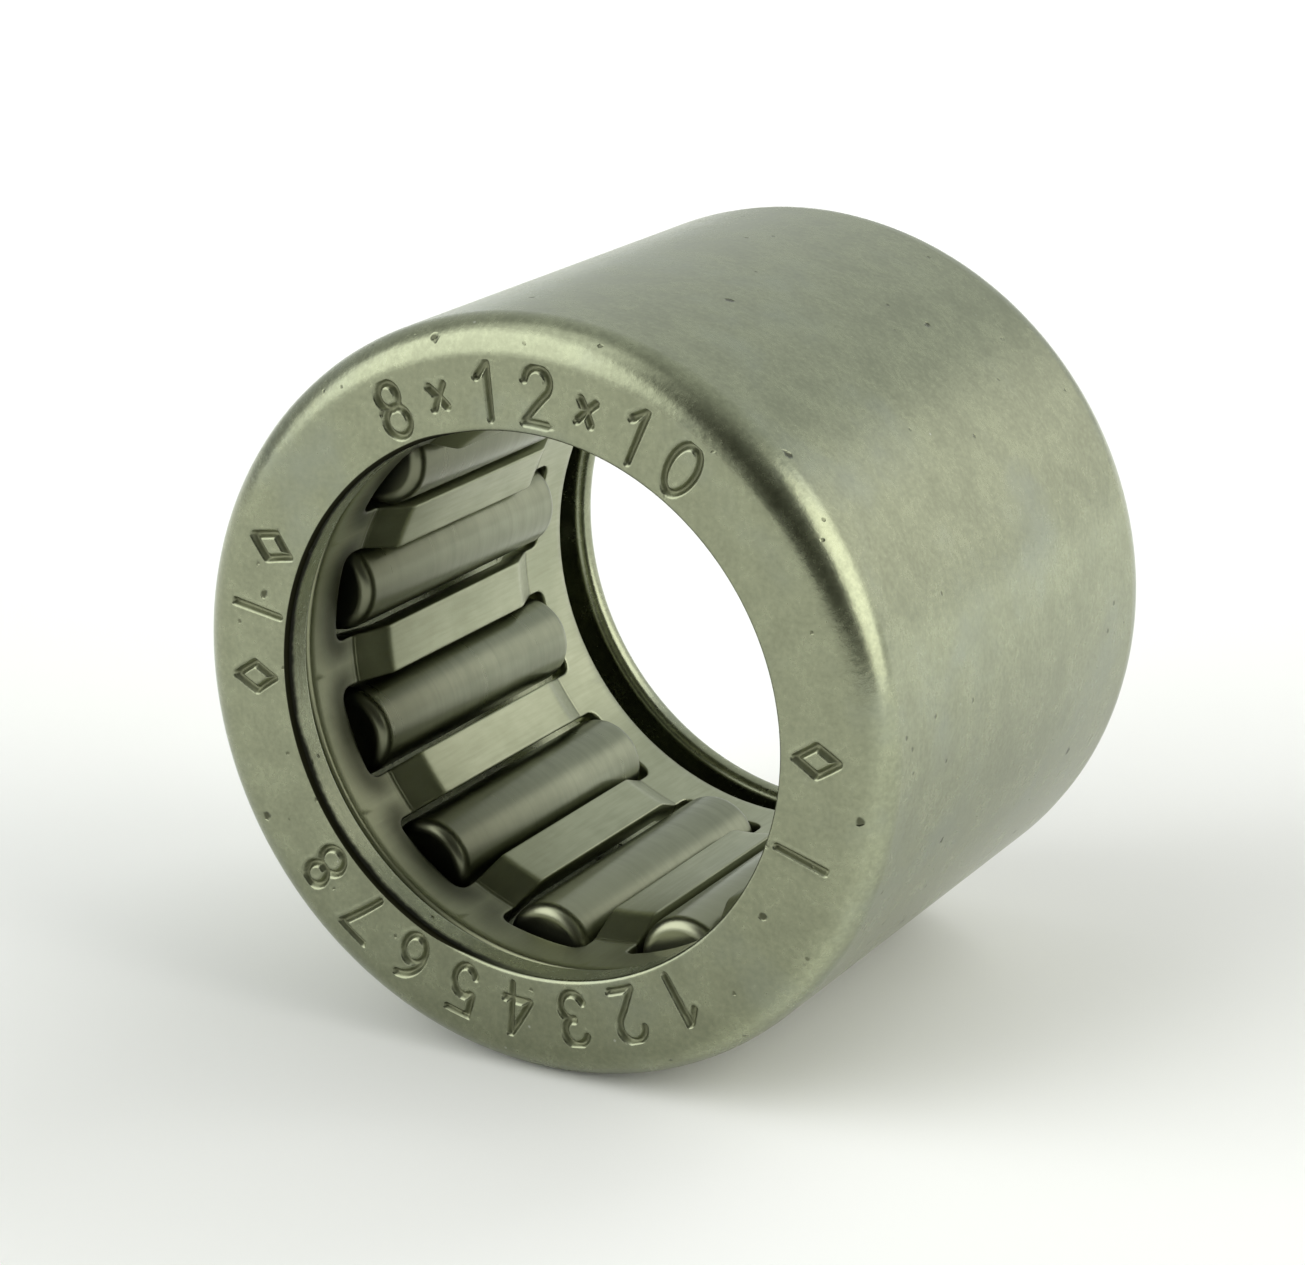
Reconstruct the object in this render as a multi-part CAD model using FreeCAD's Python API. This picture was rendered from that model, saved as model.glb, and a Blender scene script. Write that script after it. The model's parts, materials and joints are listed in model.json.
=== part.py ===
"""Drawn-cup needle roller bearing with open ends, in millimetres.

The bearing axis is Y and the origin is the centre of its width on that axis, so it turns like a
wheel about +Y. The drawn end of the cup, which carries the stamped size, faces -Y. The rolled
end, whose lip is curled in after the cage goes in, faces +Y.

Fourteen separate pieces: the cup, the cage and twelve needles.
"""
import FreeCAD, Part
import math
import os

# --- driving dimensions -------------------------------------------------------------------------
# needles
SHAFT_DIAMETER = 8.0          # circle that the needles leave free for the shaft
NEEDLE_DIAMETER = 1.5
NEEDLE_COUNT = 12
NEEDLE_EDGE = 0.2             # rounding between a needle's side and its flat end
NEEDLE_END_CLEARANCE = 0.2    # free space at each end of a needle centred in its pocket
NEEDLE_REST_SHIFT = 0.1       # how far the needles have floated towards the rolled end at rest
FIRST_NEEDLE_ANGLE = 21.0     # degrees from +X towards +Z, where the first needle lies at rest

# cup
CUP_WIDTH = 10.0
CUP_WALL = 0.48               # sheet of the cup's tube, thinned in drawing
FRONT_WALL = 0.55             # sheet of the drawn end, which keeps its full thickness
RACE_CLEARANCE = 0.02         # radial play between the needles and the raceway
FRONT_LIP_CLEARANCE = 0.305   # from the shaft to the edge of the drawn end's opening
REAR_LIP_CLEARANCE = 0.6      # from the shaft to the edge of the rolled lip
REAR_LIP_THICKNESS = 0.45     # the rolled lip is drawn a little thinner than the tube
FRONT_SHOULDER = 0.6          # outer rounding at the drawn end
REAR_SHOULDER = 0.8           # outer rounding at the rolled end
FRONT_CORNER = 0.15           # inner rounding at the drawn end
REAR_CORNER = 0.35            # inner rounding at the rolled end
FRONT_LIP_EDGE = 0.06         # rounding on the edges of the drawn end's opening
REAR_LIP_EDGE = 0.21          # rounding on the edges of the rolled lip, nearly half its thickness

# cage
CAGE_SHEET = 0.38
CAGE_BORE_CLEARANCE = 0.11    # from the shaft to the sunk middle of the cage bars
CAGE_STEP = 0.28              # how far the bars are sunk below the end rings
CAGE_SHOULDER = 0.44          # axial length of a bar's raised ends, from a pocket's end to the slope
CAGE_RAMP = 0.66              # axial length of the slope from a bar's raised end to its middle
CAGE_FRONT_GAP = 0.15         # from the drawn end's inner face to the cage
CAGE_REAR_GAP = 1.07          # from the rolled lip's inner face to the cage
CAGE_RING = 0.79              # axial width of each end ring, outside the pockets
CAGE_FOLD = 0.18              # rounding of the folds between raised end, slope and middle
CAGE_EDGE = 0.08              # rounding of the rings' outer edges
POCKET_SIDE_CLEARANCE = 0.084 # from a needle's side to the bar beside it
POCKET_CORNER = 0.2           # rounding of the pocket corners

# --- worked out from them -----------------------------------------------------------------------
SHAFT_RADIUS = SHAFT_DIAMETER / 2
NEEDLE_RADIUS = NEEDLE_DIAMETER / 2
PITCH_RADIUS = SHAFT_RADIUS + NEEDLE_RADIUS
RACE_RADIUS = SHAFT_RADIUS + NEEDLE_DIAMETER + RACE_CLEARANCE
CUP_RADIUS = RACE_RADIUS + CUP_WALL
FRONT = -CUP_WIDTH / 2
REAR = CUP_WIDTH / 2
CAGE_FRONT = FRONT + FRONT_WALL + CAGE_FRONT_GAP
CAGE_REAR = REAR - REAR_LIP_THICKNESS - CAGE_REAR_GAP
CAGE_CENTRE = (CAGE_FRONT + CAGE_REAR) / 2
POCKET_HALF = (CAGE_REAR - CAGE_FRONT) / 2 - CAGE_RING
NEEDLE_LENGTH = 2 * (POCKET_HALF - NEEDLE_END_CLEARANCE)
NEEDLE_STEP = 360.0 / NEEDLE_COUNT
BAR_RADIUS = SHAFT_RADIUS + CAGE_BORE_CLEARANCE      # inner face of the bars' middle
RING_RADIUS = BAR_RADIUS + CAGE_STEP                 # inner face of the end rings

AXIS = FreeCAD.Vector(0, 1, 0)
ORIGIN = FreeCAD.Vector(0, 0, 0)


def rounded_profile(corners):
    """A closed face in the XY plane, from (radius, y, rounding) corners in order, with each corner
    replaced by a tangent arc where its rounding isn't zero."""
    count = len(corners)
    points = [FreeCAD.Vector(radius, y, 0) for radius, y, _ in corners]
    cuts = []
    for i, (_, _, rounding) in enumerate(corners):
        here = points[i]
        back = (points[i - 1] - here).normalize()
        ahead = (points[(i + 1) % count] - here).normalize()
        if rounding <= 0:
            cuts.append((here, None, here))
            continue
        half_angle = back.getAngle(ahead) / 2
        reach = rounding / math.tan(half_angle)
        middle = here + (back + ahead).normalize() * (rounding / math.sin(half_angle) - rounding)
        cuts.append((here + back * reach, middle, here + ahead * reach))
    edges = []
    for i, (start, middle, end) in enumerate(cuts):
        if middle is not None:
            edges.append(Part.Arc(start, middle, end).toShape())
        following = cuts[(i + 1) % count][0]
        if (following - end).Length > 1e-6:
            edges.append(Part.LineSegment(end, following).toShape())
    return Part.Face(Part.Wire(edges))


def turned(corners):
    """The profile turned about the bearing axis into one solid."""
    return rounded_profile(corners).revolve(ORIGIN, AXIS, 360)


def make_cup():
    """One drawn sheet: tube, flat drawn end with its opening, and the rolled lip."""
    front_opening = SHAFT_RADIUS + FRONT_LIP_CLEARANCE
    rear_opening = SHAFT_RADIUS + REAR_LIP_CLEARANCE
    return turned([
        (front_opening, FRONT, FRONT_LIP_EDGE),
        (CUP_RADIUS, FRONT, FRONT_SHOULDER),
        (CUP_RADIUS, REAR, REAR_SHOULDER),
        (rear_opening, REAR, REAR_LIP_EDGE),
        (rear_opening, REAR - REAR_LIP_THICKNESS, REAR_LIP_EDGE),
        (RACE_RADIUS, REAR - REAR_LIP_THICKNESS, REAR_CORNER),
        (RACE_RADIUS, FRONT + FRONT_WALL, FRONT_CORNER),
        (front_opening, FRONT + FRONT_WALL, FRONT_LIP_EDGE),
    ])


def pocket_tool():
    """The space cut for one needle, centred on +X. Its side walls are parallel to the middle plane
    of the bar beside them, and clear the needle by the side clearance."""
    half_step = math.radians(NEEDLE_STEP / 2)
    wall_to_axis = PITCH_RADIUS * math.sin(half_step) - NEEDLE_RADIUS - POCKET_SIDE_CLEARANCE
    inner = BAR_RADIUS - CAGE_SHEET
    outer = RING_RADIUS + 2 * CAGE_SHEET
    corners = []
    for radius, side in ((inner, -1), (outer, -1), (outer, 1), (inner, 1)):
        half_width = (radius * math.sin(half_step) - wall_to_axis) / math.cos(half_step)
        corners.append(FreeCAD.Vector(radius, CAGE_CENTRE - POCKET_HALF, side * half_width))
    outline = Part.makePolygon(corners + corners[:1])
    block = Part.Face(outline).extrude(FreeCAD.Vector(0, 2 * POCKET_HALF, 0))
    radial = [edge for edge in block.Edges
              if abs(edge.Vertexes[0].Point.x - edge.Vertexes[1].Point.x) > CAGE_SHEET]
    return block.makeFillet(POCKET_CORNER, radial)


def make_cage():
    """One strip of sheet with sunk bars, bent round and pierced with a pocket for each needle."""
    slope_half = POCKET_HALF - CAGE_SHOULDER
    middle_half = slope_half - CAGE_RAMP
    inner = [
        (RING_RADIUS, CAGE_FRONT, CAGE_EDGE),
        (RING_RADIUS, CAGE_CENTRE - slope_half, CAGE_FOLD),
        (BAR_RADIUS, CAGE_CENTRE - middle_half, CAGE_FOLD),
        (BAR_RADIUS, CAGE_CENTRE + middle_half, CAGE_FOLD),
        (RING_RADIUS, CAGE_CENTRE + slope_half, CAGE_FOLD),
        (RING_RADIUS, CAGE_REAR, CAGE_EDGE),
    ]
    outer = [(radius + CAGE_SHEET, y, rounding) for radius, y, rounding in reversed(inner)]
    cage = turned(inner + outer)
    tool = pocket_tool()
    pockets = []
    for i in range(NEEDLE_COUNT):
        pocket = tool.copy()
        pocket.rotate(ORIGIN, AXIS, -(FIRST_NEEDLE_ANGLE + i * NEEDLE_STEP))
        pockets.append(pocket)
    return cage.cut(pockets)


def make_needle(index):
    """One hardened roller with flat ends, lying in its pocket at the pitch circle."""
    half = NEEDLE_LENGTH / 2
    needle = turned([
        (0, -half, 0),
        (NEEDLE_RADIUS, -half, NEEDLE_EDGE),
        (NEEDLE_RADIUS, half, NEEDLE_EDGE),
        (0, half, 0),
    ])
    needle.translate(FreeCAD.Vector(PITCH_RADIUS, CAGE_CENTRE + NEEDLE_REST_SHIFT, 0))
    needle.rotate(ORIGIN, AXIS, -(FIRST_NEEDLE_ANGLE + index * NEEDLE_STEP))
    return needle


def as_solid(shape):
    """The shape as one closed solid with outward faces."""
    solid = shape.Solids[0] if shape.Solids else Part.Solid(shape.Shells[0])
    if solid.Volume < 0:
        solid.reverse()
    return solid


def main():
    parts = {"cup": make_cup(), "cage": make_cage()}
    for i in range(NEEDLE_COUNT):
        parts[f"needle_{i + 1:02d}"] = make_needle(i)
    os.makedirs("parts", exist_ok=True)
    for name, shape in parts.items():
        solid = as_solid(shape)
        if not solid.isValid():
            raise ValueError(f"{name} is not a valid solid")
        solid.exportStep(os.path.join("parts", name + ".step"))
        print(f"{name}: {solid.Volume:.3f} mm3, {len(shape.Solids)} solid(s)")
    print(f"cup {2 * CUP_RADIUS:.2f} x {CUP_WIDTH:.2f}, needle {NEEDLE_DIAMETER} x {NEEDLE_LENGTH:.2f}")


main()
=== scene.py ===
"""Looks of a drawn-cup needle roller bearing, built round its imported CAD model.

Lengths named below are in millimetres and become metres where a mesh is made. The bearing axis is
Y, the stamped end of the cup faces -Y, and an angle round the axis runs from +X towards +Z.
"""
import json
import math
import bmesh
import bpy
import numpy as np
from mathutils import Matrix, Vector


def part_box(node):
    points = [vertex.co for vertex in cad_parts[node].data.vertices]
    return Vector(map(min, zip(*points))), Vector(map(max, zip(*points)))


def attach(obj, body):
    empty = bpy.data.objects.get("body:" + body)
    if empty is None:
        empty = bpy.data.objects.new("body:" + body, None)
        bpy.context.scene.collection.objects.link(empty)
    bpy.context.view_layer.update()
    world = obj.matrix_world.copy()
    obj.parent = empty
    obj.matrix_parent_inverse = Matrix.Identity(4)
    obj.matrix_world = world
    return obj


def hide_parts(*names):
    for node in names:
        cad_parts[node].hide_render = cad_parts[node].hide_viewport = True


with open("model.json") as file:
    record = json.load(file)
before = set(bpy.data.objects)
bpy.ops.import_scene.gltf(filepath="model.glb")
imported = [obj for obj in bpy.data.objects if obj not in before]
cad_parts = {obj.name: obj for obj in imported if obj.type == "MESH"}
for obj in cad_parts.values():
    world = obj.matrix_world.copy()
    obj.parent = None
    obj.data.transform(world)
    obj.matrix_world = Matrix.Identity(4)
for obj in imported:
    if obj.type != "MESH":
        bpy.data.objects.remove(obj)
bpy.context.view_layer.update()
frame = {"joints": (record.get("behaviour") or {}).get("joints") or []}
MM = 0.001
MERGE = 0.0002            # points nearer than this are one point


def node_box(node):
    """A CAD node's lowest and highest corner in millimetres."""
    low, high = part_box(node)
    return np.array(low) / MM, np.array(high) / MM


# --- sizes read from the frame ------------------------------------------------------------------
cup_low, cup_high = node_box("cup")
cage_low, cage_high = node_box("cage")
needle_low, needle_high = node_box("needle_01")
CUP_RADIUS = (cup_high[2] - cup_low[2]) / 2
FRONT, REAR = cup_low[1], cup_high[1]
CAGE_FRONT, CAGE_REAR = cage_low[1], cage_high[1]
NEEDLE_RADIUS = (needle_high[2] - needle_low[2]) / 2
NEEDLE_FRONT, NEEDLE_REAR = needle_low[1], needle_high[1]
needle_axes = {joint["child"]: (joint["pos_m"][0] / MM, joint["pos_m"][2] / MM)
               for joint in frame["joints"] if joint["child"].startswith("needle")}
NEEDLE_COUNT = len(needle_axes)
PITCH_RADIUS = math.hypot(*needle_axes["needle_01"])
FIRST_NEEDLE = math.atan2(needle_axes["needle_01"][1], needle_axes["needle_01"][0])

# --- sizes of the design's own details ----------------------------------------------------------
SHAFT_RADIUS = PITCH_RADIUS - NEEDLE_RADIUS
RACE_RADIUS = SHAFT_RADIUS + 2 * NEEDLE_RADIUS + 0.02
FRONT_OPENING = SHAFT_RADIUS + 0.305
REAR_OPENING = SHAFT_RADIUS + 0.6
FRONT_WALL = 0.55         # thickness of the drawn end
REAR_LIP = 0.45           # thickness of the rolled lip
FRONT_SHOULDER, REAR_SHOULDER = 0.6, 0.8
FRONT_CORNER, REAR_CORNER = 0.15, 0.35
FRONT_LIP_EDGE, REAR_LIP_EDGE = 0.06, 0.21

SHEET = 0.38              # thickness of the cage's strip
BAR_BORE = SHAFT_RADIUS + 0.11
STEP = 0.28               # how far the bars are sunk below the rings
RAMP, RAISED_END = 0.66, 0.44
FOLD_REACH = 0.08         # half length of a rounded fold
RING = 0.79               # width of the end rings
RING_EDGE = 0.08
SIDE_CLEARANCE = 0.084    # from a roller to the bar beside it
POCKET_CORNER = 0.2
POCKET_EDGE = 0.03
NEEDLE_EDGE = 0.2

# --- stamped marks: plain figures and shapes -----------------------------------------------------
MARK_BASE = 4.50          # radius of the marks' feet
MARK_HEIGHT = 0.84
MARK_WIDTH = 0.50
MARK_GROOVE = 0.07        # half width of a stroke
MARK_DEPTH = 0.085
MARK_BURR = 0.006         # metal raised beside a stroke
MARK_GROUPS = [           # marks, and the degrees of the first and last, read clockwise
    (["8", "x", "1", "2", "x", "1", "0"], 117.0, 57.0),
    (["diamond", "tick", "diamond"], 183.0, 157.0),
    (["1", "2", "3", "4", "5", "6", "7", "8"], 303.0, 221.0),
    (["diamond", "tick"], 1.0, -17.5),
]
MARK_REACH = 8            # degrees from a mark's middle within which all its strokes lie
BAND_ROWS = 38            # circles of points on the face that carries the marks

# --- colours: linear red, green and blue --------------------------------------------------------
STEEL = (0.33, 0.35, 0.238)
CLOUDED_STEEL = (0.30, 0.33, 0.28)
# painted shade for the whole face of the drawn end
END_SHADE_PAINT = (0.08, 0.085, 0.05)
PIT, SMALL_PIT, BRIGHT_SPECK = (0.05, 0.052, 0.03), (0.1, 0.105, 0.065), (0.66, 0.68, 0.6)
GROOVE_DIRT = (0.11, 0.11, 0.055)
# painted shadow on the inner wall of the front lip
LIP_SHADOW_PAINT = (0.014, 0.014, 0.007)
DARK_STRIP, LIGHT_STRIP = (0.36, 0.38, 0.26), (0.44, 0.46, 0.325)
BRUSH_MARK = (0.25, 0.26, 0.17)
BROWN_SPECK = (0.14, 0.09, 0.04)
# painted shade towards the cage's drawn end
STRIP_SHADE_PAINT = (0.27, 0.28, 0.18)
FOLD_SHADE = (0.1, 0.1, 0.06)
# painted shade round the pockets' front ends
POCKET_SHADE_PAINT = (0.035, 0.036, 0.02)
DARK_ROLLER, LIGHT_ROLLER = (0.24, 0.255, 0.182), (0.30, 0.315, 0.228)
LAP_MARK = (0.17, 0.18, 0.13)
# painted shade on the rollers' front ends, darker on the side of -X
SHADED_ROLLER_LEFT, SHADED_ROLLER_RIGHT = (0.16, 0.165, 0.11), (0.3, 0.31, 0.215)
PAPER, LIGHT_PAPER = (0.93, 0.93, 0.92), (0.95, 0.95, 0.945)

# --- floor, light and camera --------------------------------------------------------------------
FLOOR_RADIUS = 900.0
FRONT_GLOW = (0.05, 0.052, 0.035)
BACK_GLOW = (0.69, 0.72, 0.695)
WALL = (0.97, 0.97, 0.97)
SOFT_BOXES = [            # the way to each box, degrees where it is full and where it ends, colour
    ((-0.40, -0.30, 0.86), 10, 32, (1.3, 1.33, 1.3)),
    ((-0.62, -0.66, 0.42), 24, 36, (2.5, 2.55, 2.5)),
    ((0.90, 0.16, 0.40), 18, 34, (2.5, 2.5, 2.35)),
    ((0.64, 0.60, 0.47), 8, 17, (2.3, 2.3, 2.2)),
    ((0.48, 0.83, 0.26), 4, 22, (1.15, 1.15, 1.1)),
    ((-0.68, 0.73, -0.02), 6, 14, (0.98, 1.04, 1.02)),
]
LAMP_PLACE, LAMP_AIM, LAMP_SIZE, LAMP_POWER = (60, 190, 150), (20, 110, 0), 160.0, 0.26
CAMERA_AZIMUTH, CAMERA_ELEVATION = 29.410, 18.094
CAMERA_TARGET, CAMERA_DISTANCE = (-0.43459, -0.30590, -0.16242), 60.018
LENS, SENSOR = 102.712, 36.0


# === numpy surfaces =============================================================================
def soft_ramp(x, reach):
    """0 below -reach, x above reach, and (x + reach)^2 / (4 reach) between: a rounded corner."""
    return np.where(x <= -reach, 0.0, np.where(x >= reach, x, (x + reach) ** 2 / (4 * reach)))


def unit(vector):
    return vector / np.linalg.norm(vector)


def rounded_outline(corners, support=0.012):
    """An outline (radius, y) from (radius, y, rounding, steps) corners, each replaced by the arc
    that touches both its sides. `support` is how far beyond each arc one more point lies."""
    outline = []
    for i, (radius, y, rounding, steps) in enumerate(corners):
        here = np.array([radius, y])
        if rounding == 0:
            outline.append(here)
            continue
        back = unit(np.array(corners[i - 1][:2]) - here)
        ahead = unit(np.array(corners[(i + 1) % len(corners)][:2]) - here)
        half = np.arccos(np.clip(back @ ahead, -1, 1)) / 2
        reach = rounding / np.tan(half)
        centre = here + unit(back + ahead) * rounding / np.sin(half)
        start, end = here + back * reach - centre, here + ahead * reach - centre
        turn = np.pi - 2 * half
        share = np.linspace(0, 1, steps)[:, None]
        arc = centre + (np.sin((1 - share) * turn) * start + np.sin(share * turn) * end) / np.sin(turn)
        outline += [here + back * (reach + support), *arc, here + ahead * (reach + support)]
    return np.array(outline)


def turned(outline, angles):
    """Points of an outline (radius, y) carried round the Y axis: (radius cos a, y, radius sin a)
    for every angle a."""
    radius, y = outline[:, 0], outline[:, 1]
    return np.stack([np.cos(angles)[:, None] * radius,
                     np.broadcast_to(y, (len(angles), len(y))),
                     np.sin(angles)[:, None] * radius], -1)


def grid_faces(rows, columns, wrap_rows=False, wrap_columns=False):
    """Quads over a rows x columns grid of point numbers, joined round where it wraps."""
    i, j = np.meshgrid(np.arange(rows if wrap_rows else rows - 1),
                       np.arange(columns if wrap_columns else columns - 1), indexing="ij")
    i_next, j_next = (i + 1) % rows, (j + 1) % columns
    corners = [i * columns + j, i_next * columns + j, i_next * columns + j_next, i * columns + j_next]
    return np.stack(corners, -1).reshape(-1, 4)


def make_piece(name, points, faces, attributes=None):
    """A smooth-shaded object from points in millimetres and lists of point numbers. Points that
    meet are merged, which closes seams and poles, and faces are turned outwards."""
    mesh = bpy.data.meshes.new(name)
    mesh.from_pydata((points * MM).tolist(), [], faces)
    for key, values in (attributes or {}).items():
        mesh.attributes.new(key, "FLOAT", "POINT").data.foreach_set("value", values)
    shell = bmesh.new()
    shell.from_mesh(mesh)
    bmesh.ops.remove_doubles(shell, verts=shell.verts, dist=MERGE * MM)
    loose = [point for point in shell.verts if not point.link_faces]
    bmesh.ops.delete(shell, geom=loose, context="VERTS")
    bmesh.ops.recalc_face_normals(shell, faces=shell.faces)
    shell.to_mesh(mesh)
    shell.free()
    mesh.polygons.foreach_set("use_smooth", np.ones(len(mesh.polygons), bool))
    mesh.update()
    piece = bpy.data.objects.new(name, mesh)
    bpy.context.scene.collection.objects.link(piece)
    return piece


# === stamped marks ==============================================================================
def bow(cx, cy, rx, ry, start, end, steps=14):
    """Part of an ellipse as a chain of points, from one angle in degrees to another."""
    a = np.radians(np.linspace(start, end, steps))
    return np.stack([cx + rx * np.cos(a), cy + ry * np.sin(a)], -1)


MARKS = {                 # strokes in a cell 1 wide and 1 high
    "0": [bow(0.5, 0.5, 0.45, 0.5, 0, 360, 28)],
    "1": [[(0.22, 0.76), (0.58, 1.0), (0.58, 0.0)]],
    "2": [[*bow(0.5, 0.72, 0.42, 0.28, 170, -35), (0.08, 0.0), (0.95, 0.0)]],
    "3": [bow(0.48, 0.75, 0.38, 0.25, 160, -90), bow(0.48, 0.26, 0.44, 0.26, 90, -160)],
    "4": [[(0.72, 0.0), (0.72, 1.0), (0.05, 0.3), (0.98, 0.3)]],
    "5": [[(0.88, 1.0), (0.2, 1.0), (0.14, 0.56), *bow(0.48, 0.31, 0.42, 0.31, 130, -150)]],
    "6": [bow(0.5, 0.3, 0.42, 0.3, 0, 360, 24), bow(0.98, 0.34, 0.9, 0.66, 180, 105)],
    "7": [[(0.05, 1.0), (0.95, 1.0), (0.38, 0.0)]],
    "8": [bow(0.5, 0.76, 0.34, 0.24, 0, 360, 20), bow(0.5, 0.27, 0.44, 0.27, 0, 360, 24)],
    "x": [[(0.25, 0.28), (0.75, 0.68)], [(0.25, 0.68), (0.75, 0.28)]],
    "tick": [[(0.5, 0.0), (0.5, 1.0)]],
    "diamond": [[(0.5, 0.08), (0.95, 0.5), (0.5, 0.92), (0.05, 0.5), (0.5, 0.08)]],
}


def placed_marks():
    """Every mark's name with the angle of its middle, in degrees."""
    return [placed for marks, first, last in MARK_GROUPS
            for placed in zip(marks, np.linspace(first, last, len(marks)))]


def distance_to_strokes(x, y, strokes):
    """Distance of every (x, y) to the nearest straight run of the strokes."""
    nearest = np.full(x.shape, np.inf)
    for stroke in strokes:
        for (ax, ay), (bx, by) in zip(stroke[:-1], stroke[1:]):
            dx, dy = bx - ax, by - ay
            along = np.clip(((x - ax) * dx + (y - ay) * dy) / (dx * dx + dy * dy), 0, 1)
            nearest = np.minimum(nearest, np.hypot(x - ax - along * dx, y - ay - along * dy))
    return nearest


def stamping(angles, radii):
    """How deep the face is stamped at every angle and radius, and the share of full depth.
    At distance d from a stroke's middle the share is (1 - (d / half width)^2)^1.5, and a low burr
    stands beside it, a bell curve with its peak at 1.35 half widths."""
    distance = np.full((len(angles), len(radii)), 1.0)
    cell = np.array([MARK_WIDTH, MARK_HEIGHT])
    for mark, middle in placed_marks():
        offset = (np.degrees(angles) - middle + 180) % 360 - 180
        near = np.abs(offset) < MARK_REACH
        x = MARK_WIDTH / 2 - np.radians(offset[near])[:, None] * (MARK_BASE + MARK_HEIGHT / 2)
        x, y = np.broadcast_arrays(x, radii - MARK_BASE)
        strokes = [np.array(stroke) * cell for stroke in MARKS[mark]]
        distance[near] = np.minimum(distance[near], distance_to_strokes(x, y, strokes))
    share = np.clip(1 - (distance / MARK_GROOVE) ** 2, 0, 1) ** 1.5
    burr = np.exp(-((distance - 1.35 * MARK_GROOVE) / (0.35 * MARK_GROOVE)) ** 2)
    return MARK_DEPTH * share - MARK_BURR * burr, share


def cup_angles():
    """Angles round the cup, close together under the marks and further apart between them."""
    middles = np.radians([middle for _, middle in placed_marks()])
    fine, coarse, half_mark = math.radians(0.22), math.radians(1.2), math.radians(4.2)
    angles = [0.0]
    while angles[-1] < 2 * np.pi:
        gap = np.abs((middles - angles[-1] + np.pi) % (2 * np.pi) - np.pi).min()
        angles.append(angles[-1] + (fine if gap < half_mark else coarse))
    return np.array(angles) * 2 * np.pi / angles[-1]


# === pieces =====================================================================================
def make_cup():
    """The drawn cup: its outline carried once round the axis, with the points of the flat drawn
    end pushed in by the depth of the stamping."""
    outline = rounded_outline([
        (FRONT_OPENING, FRONT, FRONT_LIP_EDGE, 5),
        (CUP_RADIUS, FRONT, FRONT_SHOULDER, 11),
        (CUP_RADIUS, REAR, REAR_SHOULDER, 9),
        (REAR_OPENING, REAR, REAR_LIP_EDGE, 7),
        (REAR_OPENING, REAR - REAR_LIP, REAR_LIP_EDGE, 7),
        (RACE_RADIUS, REAR - REAR_LIP, REAR_CORNER, 4),
        (RACE_RADIUS, FRONT + FRONT_WALL, FRONT_CORNER, 3),
        (FRONT_OPENING, FRONT + FRONT_WALL, FRONT_LIP_EDGE, 4),
    ])
    on_face = np.isclose(outline[:, 1], FRONT)
    after_opening = 1 + np.flatnonzero(on_face & (outline[:, 0] < MARK_BASE))[-1]
    from_lip, from_shoulder = 0.05, 0.032
    band = np.linspace(outline[on_face, 0].min() + from_lip,
                       CUP_RADIUS - FRONT_SHOULDER - from_shoulder, BAND_ROWS)
    rows = np.stack([band, np.full(len(band), FRONT)], -1)
    outline = np.insert(outline, after_opening, rows, axis=0)
    angles = cup_angles()
    points = turned(outline, angles)
    stamped = slice(after_opening, after_opening + len(band))
    depth, share = stamping(angles, band)
    points[:, stamped, 1] += depth
    groove = np.zeros(points.shape[:2])
    groove[:, stamped] = share
    faces = grid_faces(len(angles), len(outline), True, True)
    return make_piece("drawn_cup", points.reshape(-1, 3), faces.tolist(), {"stamp": groove.ravel()})


def bar_bore(y):
    """Radius of the cage's inner face at y: the end rings', sloping down to the sunk middle of the
    bars, with a rounded fold at each end of both slopes."""
    from_centre = np.abs(y - (CAGE_FRONT + CAGE_REAR) / 2)
    slope_end = (CAGE_REAR - CAGE_FRONT) / 2 - RING - RAISED_END
    slope = STEP / RAMP
    return BAR_BORE + slope * (soft_ramp(from_centre - slope_end + RAMP, FOLD_REACH)
                               - soft_ramp(from_centre - slope_end, FOLD_REACH))


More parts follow.
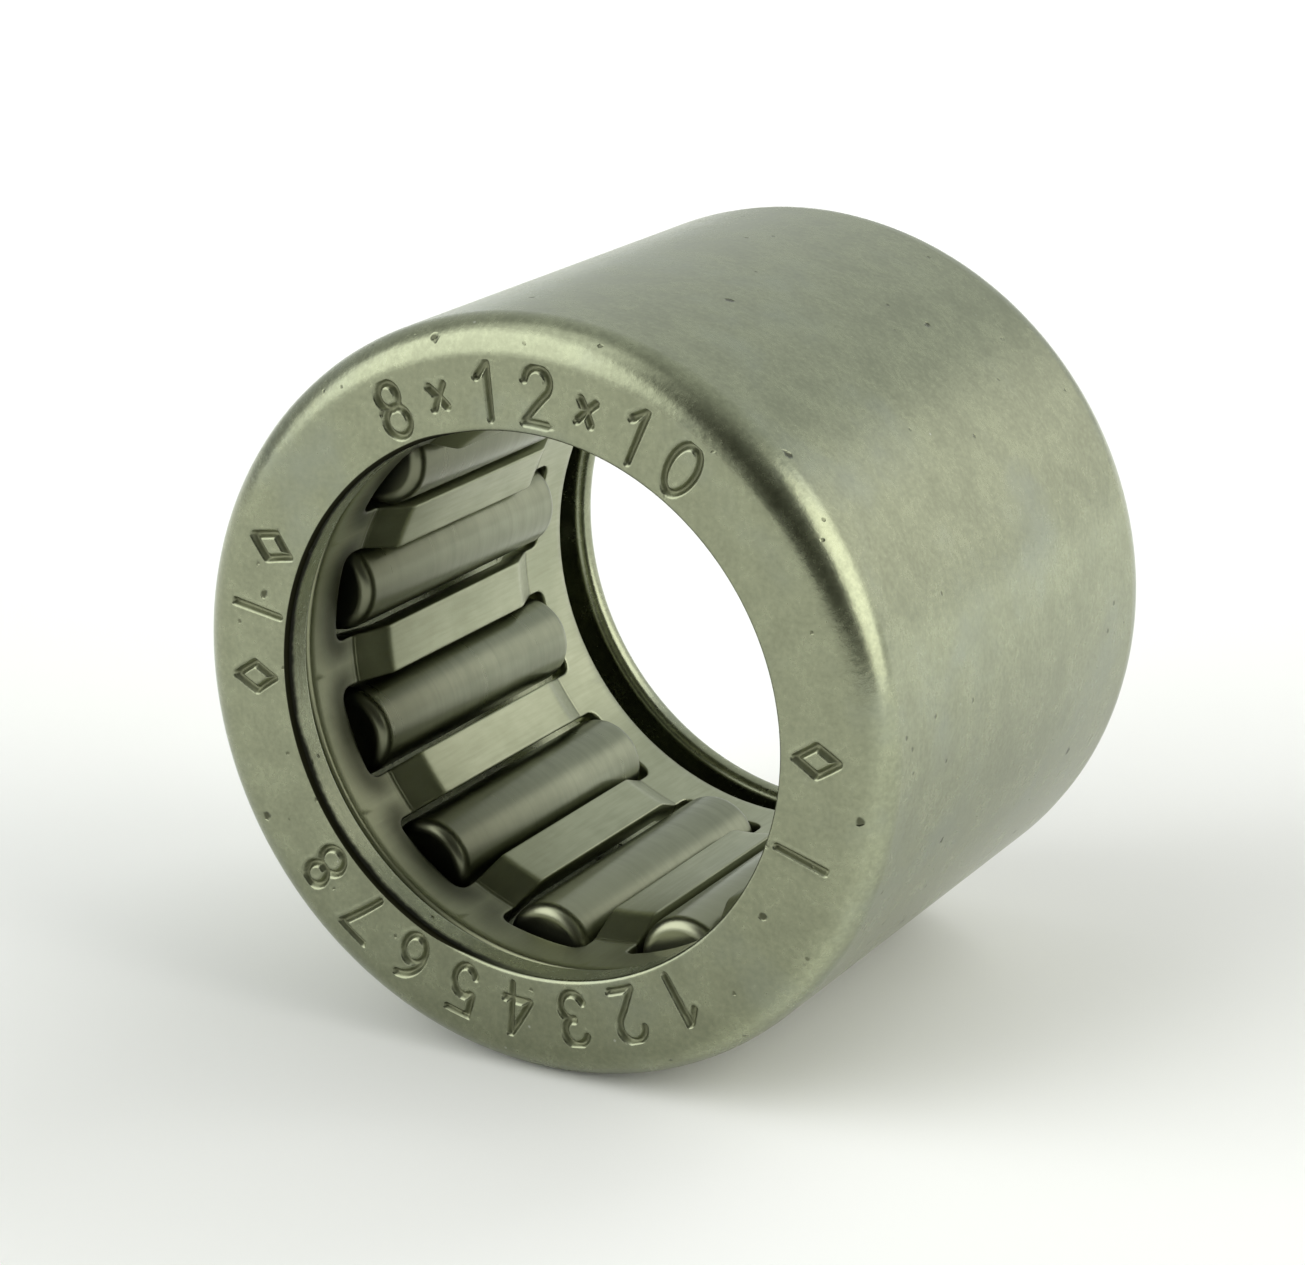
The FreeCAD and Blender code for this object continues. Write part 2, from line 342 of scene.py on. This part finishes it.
def make_cage():
    """The bent, pierced strip. Lines run from each pocket's edge to the frame that is its share of
    the strip: the ring's rim, and the middle of the bars at its sides. A point at share t of a line
    lies at (1 - t) edge + t frame, taken as an angle and a y, on the radius that the folded strip
    has at that y, plus its depth in the sheet."""
    centre, half_length = (CAGE_FRONT + CAGE_REAR) / 2, (CAGE_REAR - CAGE_FRONT) / 2
    half_pocket = half_length - RING
    ring_bore = BAR_BORE + STEP
    half_step = np.pi / NEEDLE_COUNT
    half_bar = PITCH_RADIUS * np.sin(half_step) - NEEDLE_RADIUS - SIDE_CLEARANCE
    half_width = (half_step - np.arcsin(half_bar / ring_bore)) * ring_bore
    fold, rim = half_pocket - RAISED_END, half_length - RING_EDGE
    corner_end = half_pocket - POCKET_CORNER

    # a quarter of the lines: from the middle of the pocket's end, round its corner, to mid-length,
    # each with its inset from the pocket's side, its y, the way its edge faces, and its frame end
    across = np.linspace(0, half_width - POCKET_CORNER, 5)[:-1]
    bend = np.radians(np.linspace(90, 0, 7))
    turn = np.linspace(0, 2, 7)
    round_fold = np.linspace(1.5, -1.5, 5) * FOLD_REACH
    middle = np.linspace(fold - RAMP - 0.5, 0, 4)
    down = np.concatenate([fold + round_fold, fold - RAMP + round_fold, middle])
    last_angle = across[-1] / ring_bore
    end_lines = [half_width - across, half_pocket, np.pi / 2, across / ring_bore, rim]
    corner_lines = [POCKET_CORNER * (1 - np.cos(bend)),
                    half_pocket - POCKET_CORNER * (1 - np.sin(bend)), bend,
                    last_angle + (half_step - last_angle) * np.clip(turn, 0, 1),
                    rim + (corner_end - rim) * np.clip(turn - 1, 0, 1)]
    side_lines = [0, down, 0, half_step, down]
    quarter = np.concatenate([np.stack(np.broadcast_arrays(*lines), -1)
                              for lines in (end_lines, corner_lines, side_lines)])
    half = np.concatenate([quarter, quarter[-2::-1] * (1, -1, -1, 1, -1)])
    inset, along, facing, frame_angle, frame_along = np.concatenate([half, half[-2:0:-1]]).T
    side = np.concatenate([np.ones(len(half)), -np.ones(len(half) - 2)])
    on_rim = np.isclose(np.abs(frame_along), rim)

    def ring_of_points(t, depth, setback=POCKET_EDGE, overhang=0.0):
        """One point of every line, at share t and a depth in the sheet, with its distance from the
        pocket. Near the pocket it is set back from the edge, and at the rim it hangs over by part
        of the rim's rounding."""
        y = (1 - t) * (along + setback * np.sin(facing)) + t * frame_along
        radius = bar_bore(centre + y) + depth
        edge = half_step - np.arcsin(half_bar / radius) - (inset - setback * np.cos(facing)) / radius
        angle = side * ((1 - t) * edge + t * frame_angle)
        distance = t * np.hypot(frame_along - along, (frame_angle - edge) * radius)
        return np.stack([radius, angle, centre + y + np.sign(y) * overhang, distance], -1)

    # from the rim or the bars' middle to the pocket, over its edge, and back on the outer face
    shares = np.array([1, 0.82, 0.6, 0.38, 0.18, 0.06, 0])
    soft = 1 - math.sqrt(0.5)       # how near the middle of a rounding comes to both its sides
    section = [ring_of_points(t, 0) for t in shares]
    section += [ring_of_points(0, depth, setback) for depth, setback in [
        (soft * POCKET_EDGE, soft * POCKET_EDGE), (POCKET_EDGE, 0), (SHEET - POCKET_EDGE, 0),
        (SHEET - soft * POCKET_EDGE, soft * POCKET_EDGE)]]
    section += [ring_of_points(t, SHEET) for t in shares[::-1]]
    sheet_rows = len(section)
    section += [ring_of_points(1, depth, overhang=overhang) for depth, overhang in [
        (SHEET - soft * RING_EDGE, (1 - soft) * RING_EDGE), (SHEET - RING_EDGE, RING_EDGE),
        (RING_EDGE, RING_EDGE), (soft * RING_EDGE, (1 - soft) * RING_EDGE)]]

    rows, columns = len(section), len(along)
    faces = grid_faces(rows, columns, True, True).reshape(rows, columns, 4)
    inside_sheet = np.arange(rows)[:, None] < sheet_rows - 1
    faces = faces[inside_sheet | (on_rim & np.roll(on_rim, -1))]
    radius, angle, y, distance = np.reshape(section, (-1, 4)).T
    turns = FIRST_NEEDLE + np.arange(NEEDLE_COUNT)[:, None] * 2 * half_step + angle
    points = np.stack([radius * np.cos(turns), np.broadcast_to(y, turns.shape),
                       radius * np.sin(turns)], -1)
    all_faces = faces + np.arange(NEEDLE_COUNT)[:, None, None] * len(y)
    return make_piece("needle_cage", points.reshape(-1, 3), all_faces.reshape(-1, 4).tolist(),
                      {"from_pocket": np.tile(distance, NEEDLE_COUNT)})


def make_needle(node, axis_x, axis_z):
    """A roller: its outline, from pole to pole, carried round its own axis."""
    outline = rounded_outline([
        (0, NEEDLE_FRONT, 0, 0), (NEEDLE_RADIUS, NEEDLE_FRONT, NEEDLE_EDGE, 8),
        (NEEDLE_RADIUS, NEEDLE_REAR, NEEDLE_EDGE, 8), (0, NEEDLE_REAR, 0, 0)])
    angles = np.linspace(0, 2 * np.pi, 96, endpoint=False)
    points = turned(outline, angles).reshape(-1, 3) + (axis_x, 0, axis_z)
    faces = grid_faces(len(angles), len(outline), wrap_rows=True)
    return make_piece(f"roller_{node[-2:]}", points, faces.tolist())


# === finishes ===================================================================================
class Field:
    """A node's output in Python arithmetic: an operator adds the Math node that it stands for."""

    def __init__(self, board, socket):
        self.board, self.socket = board, socket

    def __add__(self, other):
        return self.board.maths("ADD", self, other)

    def __sub__(self, other):
        return self.board.maths("SUBTRACT", self, other)

    def __rsub__(self, other):
        return self.board.maths("SUBTRACT", other, self)

    def __mul__(self, other):
        return self.board.maths("MULTIPLY", self, other)

    __radd__, __rmul__ = __add__, __mul__


class Board:
    """A node tree being wired up."""

    def __init__(self, tree):
        self.tree = tree
        tree.nodes.clear()

    def node(self, kind, settings, values, output=0):
        """A new node with its settings and sockets filled in. Returns one of its outputs."""
        node = self.tree.nodes.new(kind)
        for key, value in settings.items():
            setattr(node, key, value)
        for key, value in values.items():
            if isinstance(value, Field):
                self.tree.links.new(value.socket, node.inputs[key])
            else:
                node.inputs[key].default_value = value
        return Field(self, node.outputs[output]) if node.outputs else None

    def maths(self, operation, *values):
        return self.node("ShaderNodeMath", {"operation": operation}, dict(enumerate(values)))

    def vector(self, operation, *values, output=0):
        """Vector arithmetic. The output is "Value" where the result is a number."""
        return self.node("ShaderNodeVectorMath", {"operation": operation},
                         dict(enumerate(values)), output)

    def rise(self, value, low, high, bottom=0.0, top=1.0):
        """From bottom to top as the value goes from low to high, with soft ends."""
        return self.node("ShaderNodeMapRange", {"interpolation_type": "SMOOTHSTEP"}, {
            "Value": value, "From Min": low, "From Max": high, "To Min": bottom, "To Max": top})

    def mix(self, share, first, second):
        """The first colour where the share is 0, the second where it is 1."""
        return self.node("ShaderNodeMix", {"data_type": "RGBA"}, {0: share, 6: first, 7: second}, 2)


class Finish(Board):
    """A material whose patterns are measured in millimetres from the bearing's middle."""

    def __init__(self, name):
        self.material = bpy.data.materials.new(name)
        self.material.use_nodes = True
        super().__init__(self.material.node_tree)
        place = self.node("ShaderNodeTexCoord", {}, {}, "Object")
        self.place = self.vector("MULTIPLY", place, (1 / MM,) * 3)
        self.x = self.vector("DOT_PRODUCT", self.place, (1, 0, 0), output="Value")
        self.y = self.vector("DOT_PRODUCT", self.place, (0, 1, 0), output="Value")
        across = self.vector("MULTIPLY", self.place, (1, 0, 1))
        self.radius = self.vector("LENGTH", across, output="Value")

    def grain(self, per_mm, detail=2.0, roughness=0.5, stretch=(1, 1, 1), place=None):
        """Noise from 0 to 1, with about that many swings in a millimetre."""
        where = self.vector("MULTIPLY", place or self.place, stretch)
        return self.node("ShaderNodeTexNoise", {}, {
            "Vector": where, "Scale": per_mm, "Detail": detail, "Roughness": roughness})

    def spots(self, spacing, size, share, ragged=0.3):
        """Ragged spots of one radius, in that share of cells of that spacing, in millimetres."""
        wobble = self.node("ShaderNodeTexNoise", {}, {
            "Vector": self.place, "Scale": 0.7 / size}, "Color")
        where = self.vector("MULTIPLY_ADD", wobble, (2 * ragged * size,) * 3, self.place)
        distance = self.node("ShaderNodeTexVoronoi", {}, {
            "Vector": where, "Scale": 1 / spacing}, "Distance")
        lot = Field(self, distance.socket.node.outputs["Color"])
        drawn = self.vector("DOT_PRODUCT", lot, (1, 0, 0), output="Value")
        chosen = self.maths("LESS_THAN", drawn, share)
        return self.rise(distance, 0.5 * size / spacing, size / spacing, 1, 0) * chosen

    def painted(self, attribute):
        """A number that each point of the mesh carries."""
        return self.node("ShaderNodeAttribute", {"attribute_name": attribute}, {}, "Fac")

    def metal(self, colour, roughness, height):
        """Metal of that colour and roughness, embossed by a height in millimetres."""
        normal = self.node("ShaderNodeBump", {}, {
            "Height": height, "Distance": MM, "Strength": 1.0}, "Normal")
        shader = self.node("ShaderNodeBsdfPrincipled", {}, {
            "Base Color": colour, "Metallic": 1.0, "Roughness": roughness, "Normal": normal})
        self.node("ShaderNodeOutputMaterial", {}, {"Surface": shader})
        return self.material


def paint(colour, strength=1.0):
    """A colour, made that much brighter, with the fourth value that a colour socket wants."""
    return (*(part * strength for part in colour), 1.0)


def cup_finish():
    """Tumbled, hardened steel: satin and cloudy, with fine grain, drawing lines and sparse pits. It
    is dull in the stamped grooves, the whole stamped face is darkened by painted shade, and a painted
    shadow lies inside the lip on the side of -X."""
    steel = Finish("tumbled_cup_steel")
    cloud = steel.grain(per_mm=0.4, detail=4.0, roughness=0.6)
    mottle = steel.grain(per_mm=1.8, detail=3.0, roughness=0.6)
    fine = steel.grain(per_mm=11.0, detail=3.0, roughness=0.65)
    turned_place = steel.node("ShaderNodeCombineXYZ", {}, {"X": steel.radius, "Y": steel.y, "Z": 0.0})
    lines = steel.grain(per_mm=14.0, detail=2.0, roughness=0.6, place=turned_place)
    pits = steel.spots(spacing=0.8, size=0.09, share=0.3, ragged=0.6)
    small_pits = steel.spots(spacing=0.4, size=0.045, share=0.25, ragged=0.6)
    specks = steel.spots(spacing=0.5, size=0.03, share=0.15)
    groove = steel.painted("stamp")
    # painted shade: the whole face of the drawn end is darkened
    end_shade = steel.rise(steel.y, FRONT + 0.01, FRONT + 0.2, 0.26, 0)
    # painted shadow: a near black band on the lip's inner wall just behind the opening, fading out
    # towards +X
    lip_edge = steel.rise(steel.x, -1.9, -0.9, FRONT_OPENING + 0.055, FRONT_OPENING + 0.005)
    lip_wall = steel.rise(steel.radius - lip_edge, 0, 0.02, 1, 0)
    left = steel.rise(steel.x, -1.2, 0.6, 1, 0)
    ragged_y = steel.y + 0.16 * mottle + 0.05 * fine
    lip_shadow = steel.rise(ragged_y, FRONT + 0.2, FRONT + 0.32, 1, 0) * lip_wall * left

    shade = steel.rise(0.2 * cloud + 0.35 * mottle + 0.45 * fine, 0.36, 0.64)
    colour = steel.mix(shade, paint(STEEL, 0.84), paint(STEEL, 1.12))
    colour = steel.mix(steel.rise(cloud, 0.5, 0.75) * 0.5, colour, paint(CLOUDED_STEEL))
    colour = steel.mix(pits * 0.85, colour, paint(PIT))
    colour = steel.mix(small_pits * 0.7, colour, paint(SMALL_PIT))
    colour = steel.mix(specks * 0.6, colour, paint(BRIGHT_SPECK))
    colour = steel.mix(end_shade, colour, paint(END_SHADE_PAINT))
    colour = steel.mix(groove * 0.5, colour, paint(GROOVE_DIRT))
    colour = steel.mix(lip_shadow, colour, paint(LIP_SHADOW_PAINT))
    roughness = 0.17 + 0.1 * mottle + 0.08 * fine + 0.3 * groove + 0.3 * lip_shadow
    height = 0.0024 * fine + 0.0008 * lines + 0.004 * mottle - 0.014 * pits - 0.006 * small_pits
    return steel.metal(colour, roughness, height)


def cage_finish():
    """Rolled strip: brushed along the axis, with faint scratches, a few brown specks and a crease at
    the outer folds, darkened there by painted shade. Painted shade also darkens it towards the drawn
    end and is black round the pockets' front ends, most of all on the side of -X."""
    strip = Finish("rolled_cage_strip")
    cloud = strip.grain(per_mm=0.8, detail=3.0, roughness=0.6)
    brushed = strip.grain(per_mm=16.0, detail=3.0, roughness=0.6, stretch=(1, 0.08, 1))
    fine = strip.grain(per_mm=20.0)
    specks = strip.spots(spacing=1.0, size=0.05, share=0.12)
    # painted shade: darker towards the drawn end
    front_shade = strip.rise(strip.y + 1.2 * cloud, CAGE_FRONT - 0.3, CAGE_FRONT + 5.9)
    # painted shade: near black round the pockets' front ends, weaker towards +X
    near_pocket = strip.rise(strip.painted("from_pocket") + 0.25 * cloud, 0.2, 0.8, 1, 0)
    painted_shade = near_pocket * strip.rise(strip.y, CAGE_FRONT + 0.8, CAGE_FRONT + 1.7, 1, 0)
    painted_shade = painted_shade * strip.rise(strip.x, -2.0, -0.9, 1, 0.3)
    from_middle = strip.maths("ABSOLUTE", strip.y - (CAGE_FRONT + CAGE_REAR) / 2)
    fold = (CAGE_REAR - CAGE_FRONT) / 2 - RING - RAISED_END
    crease = strip.rise(strip.maths("ABSOLUTE", from_middle - fold), 0.015, 0.06, 1, 0)

    colour = strip.mix(strip.rise(cloud, 0.3, 0.7), paint(DARK_STRIP), paint(LIGHT_STRIP))
    colour = strip.mix(strip.rise(brushed, 0.3, 0.75) * 0.25, colour, paint(BRUSH_MARK))
    colour = strip.mix(specks * 0.7, colour, paint(BROWN_SPECK))
    colour = strip.mix(front_shade, paint(STRIP_SHADE_PAINT), colour)
    # painted shade along the crease
    colour = strip.mix(crease * 0.35, colour, paint(FOLD_SHADE))
    colour = strip.mix(painted_shade * 0.85, colour, paint(POCKET_SHADE_PAINT))
    roughness = 0.25 + 0.14 * brushed + 0.06 * cloud
    height = 0.0014 * brushed + 0.001 * fine + 0.003 * cloud - 0.003 * specks - 0.009 * crease
    return strip.metal(colour, roughness, height)


def needle_finish():
    """Ground and lapped steel: dark and glossy, with fine lines round the roller, and darkened
    towards the drawn end by painted shade, which is darkest on the side of -X."""
    ground = Finish("ground_needle_steel")
    lapped = ground.grain(per_mm=9.0, detail=3.0, roughness=0.65, stretch=(0.05, 1, 0.05))
    cloud = ground.grain(per_mm=0.9, detail=3.0, roughness=0.6)
    fine = ground.grain(per_mm=24.0)
    # painted shade: darker towards the drawn end
    front_shade = ground.rise(ground.y + 0.5 * cloud, CAGE_FRONT + 0.3, CAGE_FRONT + 6.3)

    colour = ground.mix(ground.rise(cloud, 0.3, 0.7), paint(DARK_ROLLER), paint(LIGHT_ROLLER))
    colour = ground.mix(ground.rise(lapped, 0.35, 0.8) * 0.35, colour, paint(LAP_MARK))
    # painted shade: the rollers' front ends darker on the side of -X
    painted_shade = ground.mix(ground.rise(ground.x, -2.4, -1.2), paint(SHADED_ROLLER_LEFT), paint(SHADED_ROLLER_RIGHT))
    colour = ground.mix(front_shade, painted_shade, colour)
    roughness = 0.21 + 0.12 * lapped + 0.06 * cloud
    height = 0.0008 * lapped + 0.0006 * fine
    return ground.metal(colour, roughness, height)


def dress(piece, material, body, node):
    """Gives a piece its finish, hangs it under its CAD body and hides the CAD node it replaces."""
    piece.data.materials.append(material)
    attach(piece, body)
    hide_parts(node)


dress(make_cup(), cup_finish(), "cup", "cup")
dress(make_cage(), cage_finish(), "cage", "cage")
roller_finish = needle_finish()
for node, (axis_x, axis_z) in sorted(needle_axes.items()):
    dress(make_needle(node, axis_x, axis_z), roller_finish, node, node)


# === floor, light and camera ====================================================================
def make_floor():
    """A large plain disc just under the cup: radius times (cos a, sin a) round a middle point."""
    angles = np.linspace(0, 2 * np.pi, 96, endpoint=False)
    rim = np.stack([np.cos(angles), np.sin(angles), 0 * angles], -1) * FLOOR_RADIUS
    rim[:, 2] = cup_low[2]
    mesh = bpy.data.meshes.new("pale_floor")
    mesh.from_pydata((rim * MM).tolist(), [], [list(range(len(rim)))])
    floor = bpy.data.objects.new("pale_floor", mesh)
    bpy.context.scene.collection.objects.link(floor)
    paper = Finish("matt_paper")
    paper_tone = paper.mix(paper.grain(per_mm=0.02), paint(PAPER), paint(LIGHT_PAPER))
    shader = paper.node("ShaderNodeBsdfDiffuse", {}, {"Color": paper_tone, "Roughness": 0.5})
    paper.node("ShaderNodeOutputMaterial", {}, {"Surface": shader})
    mesh.materials.append(paper.material)


def make_studio():
    """Soft light from all round: a glow that grows from front to back, plus soft boxes, each a
    round patch of sky that is full inside one angle from its middle and gone outside another.
    The camera itself sees plain white."""
    world = bpy.data.worlds.new("studio")
    world.use_nodes = True
    bpy.context.scene.world = world
    sky = Board(world.node_tree)
    towards = sky.node("ShaderNodeTexCoord", {}, {}, "Generated")
    back = sky.vector("DOT_PRODUCT", towards, (0, 1, 0), output="Value")
    light = sky.mix(sky.rise(back, -1.0, 1.0), paint(FRONT_GLOW), paint(BACK_GLOW))
    for middle, full, gone, colour in SOFT_BOXES:
        way = tuple(Vector(middle).normalized())
        near = sky.vector("DOT_PRODUCT", towards, way, output="Value")
        patch = sky.rise(near, math.cos(math.radians(gone)), math.cos(math.radians(full)))
        light = sky.mix(patch, light, paint(colour))
    glow = sky.node("ShaderNodeBackground", {}, {"Color": light, "Strength": 1.0})
    white = sky.node("ShaderNodeBackground", {}, {"Color": paint(WALL), "Strength": 1.0})
    seen = sky.node("ShaderNodeLightPath", {}, {}, "Is Camera Ray")
    shown = sky.node("ShaderNodeMixShader", {}, {0: seen, 1: glow, 2: white})
    sky.node("ShaderNodeOutputWorld", {}, {"Surface": shown})


def make_overhead():
    """A square soft lamp behind the bearing that lights the floor and leaves no glint on metal."""
    lamp = bpy.data.lights.new("overhead", "AREA")
    lamp.energy, lamp.size = LAMP_POWER, LAMP_SIZE * MM
    overhead = bpy.data.objects.new("overhead", lamp)
    overhead.location = Vector(LAMP_PLACE) * MM
    overhead.rotation_euler = (Vector(LAMP_PLACE) - Vector(LAMP_AIM)).to_track_quat("Z", "Y").to_euler()
    overhead.visible_glossy = False
    overhead.visible_camera = False
    bpy.context.scene.collection.objects.link(overhead)


def make_camera():
    """A long lens level with the horizon, looking down at the bearing's middle."""
    lens = bpy.data.cameras.new("camera")
    lens.lens, lens.sensor_width, lens.clip_start = LENS, SENSOR, 0.001
    camera = bpy.data.objects.new("camera", lens)
    azimuth, elevation = math.radians(CAMERA_AZIMUTH), math.radians(CAMERA_ELEVATION)
    back = Vector((math.sin(azimuth) * math.cos(elevation), -math.cos(azimuth) * math.cos(elevation),
                   math.sin(elevation)))
    camera.location = (Vector(CAMERA_TARGET) + back * CAMERA_DISTANCE) * MM
    camera.rotation_euler = back.to_track_quat("Z", "Y").to_euler()
    bpy.context.scene.collection.objects.link(camera)
    bpy.context.scene.camera = camera


make_floor()
make_studio()
make_overhead()
make_camera()
bpy.context.scene.view_settings.view_transform = "Standard"
